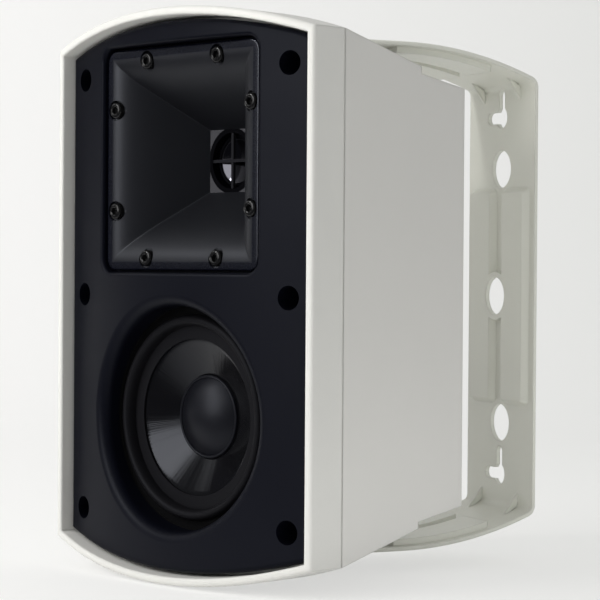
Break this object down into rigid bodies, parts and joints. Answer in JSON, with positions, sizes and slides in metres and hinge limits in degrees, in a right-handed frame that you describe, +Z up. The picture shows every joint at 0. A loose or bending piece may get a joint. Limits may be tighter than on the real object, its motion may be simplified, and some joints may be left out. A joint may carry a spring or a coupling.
{
  "type": "outdoor patio speaker",
  "caption": "Outdoor two-way loudspeaker with a bowed white cabinet, square horn tweeter and round woofer, hung in a C-shaped swivelling wall bracket.",
  "frame": {"origin": "centre of the bounding box at rest, with the bracket swung 20.6 degrees to the right as in the picture", "axes": "+X to the right of someone facing the speaker, +Y from the front towards the wall, +Z up along the swivel axis"},
  "size_m": [0.1554, 0.1824, 0.235],
  "materials": {
    "white_cabinet": "fine satin moulding",
    "white_bracket": "fine satin moulding",
    "black_baffle": "satin",
    "black_horn": "satin",
    "black_guard": "satin",
    "black_cup": "satin",
    "seal_rubber": "matt",
    "surround_rubber": "satin",
    "cone_plastic": "gloss",
    "cap_plastic": "satin",
    "spider_cloth": "varnished weave",
    "former_film": "satin",
    "copper_wire": "varnished wire",
    "diaphragm_metal": "satin",
    "black_steel": "gloss black",
    "frame_steel": "satin black",
    "zinc_steel": "zinc plated",
    "ferrite": "matt sintered",
    "board_laminate": "lacquered",
    "capacitor_sleeve": "shrunk sleeve",
    "resistor_ceramic": "matt",
    "brass": "turned",
    "red_cap": "gloss",
    "black_cap": "gloss",
    "knob_plastic": "fine satin moulding"
  },
  "bodies": {
    "bracket": {"wall_bracket": "white_bracket"},
    "cabinet": {"front_bezel": "white_cabinet", "rear_shell": "white_cabinet", "front_baffle": "black_baffle", "cabinet_seal": "seal_rubber", "cabinet_screws": "black_steel", "horn": "black_horn", "horn_right_wall": "black_horn", "horn_top_wall": "black_horn", "horn_left_wall": "black_horn", "horn_bottom_wall": "black_horn", "horn_gasket": "seal_rubber", "horn_screws": "black_steel", "throat_plate": "black_guard", "tweeter_diaphragm": "diaphragm_metal", "tweeter_coil": "copper_wire", "tweeter_plate": "zinc_steel", "tweeter_magnet": "ferrite", "tweeter_yoke": "zinc_steel", "tweeter_screws": "black_steel", "woofer_basket": "frame_steel", "woofer_gasket": "seal_rubber", "woofer_screws": "black_steel", "woofer_surround": "surround_rubber", "woofer_spider": "spider_cloth", "woofer_top_plate": "zinc_steel", "woofer_magnet": "ferrite", "woofer_yoke": "zinc_steel", "crossover_board": "board_laminate", "crossover_inductor": "copper_wire", "crossover_capacitors": "capacitor_sleeve", "crossover_resistor": "resistor_ceramic", "crossover_screws": "zinc_steel", "terminal_cup": "black_cup", "terminal_gasket": "seal_rubber", "terminal_screws": "black_steel", "terminal_posts": "brass", "pivot_inserts": "brass", "pivot_washers": "seal_rubber"},
    "cone": {"woofer_cone": "cone_plastic", "dust_cap": "cap_plastic", "coil_former": "former_film", "voice_coil": "copper_wire"},
    "upper_knob": {"upper_pivot_knob": "knob_plastic"},
    "lower_knob": {"lower_pivot_knob": "knob_plastic"},
    "red_cap": {"red_terminal_cap": "red_cap"},
    "black_cap": {"black_terminal_cap": "black_cap"}
  },
  "joints": [
    {"name": "pan", "type": "hinge", "parent": "bracket", "child": "cabinet", "pos_m": [0, -0.02363, 0], "axis": [0, 0, 1], "range_deg": [-75.6, 34.4]},
    {"name": "woofer_stroke", "type": "slide", "parent": "cabinet", "child": "cone", "axis": [0, 1, 0], "range_m": [-0.003, 0.003], "stiffness_N_per_m": 1500, "deforming": ["woofer_surround", "woofer_spider"]},
    {"name": "upper_knob_turn", "type": "hinge", "parent": "cabinet", "child": "upper_knob", "pos_m": [0, -0.02363, 0], "axis": [0, 0, 1], "continuous": true},
    {"name": "lower_knob_turn", "type": "hinge", "parent": "cabinet", "child": "lower_knob", "pos_m": [0, -0.02363, 0], "axis": [0, 0, 1], "continuous": true},
    {"name": "red_cap_turn", "type": "hinge", "parent": "cabinet", "child": "red_cap", "pos_m": [-0.0095, 0.01237, -0.046], "axis": [0, 1, 0], "continuous": true},
    {"name": "black_cap_turn", "type": "hinge", "parent": "cabinet", "child": "black_cap", "pos_m": [0.0095, 0.01237, -0.046], "axis": [0, 1, 0], "continuous": true}
  ]
}
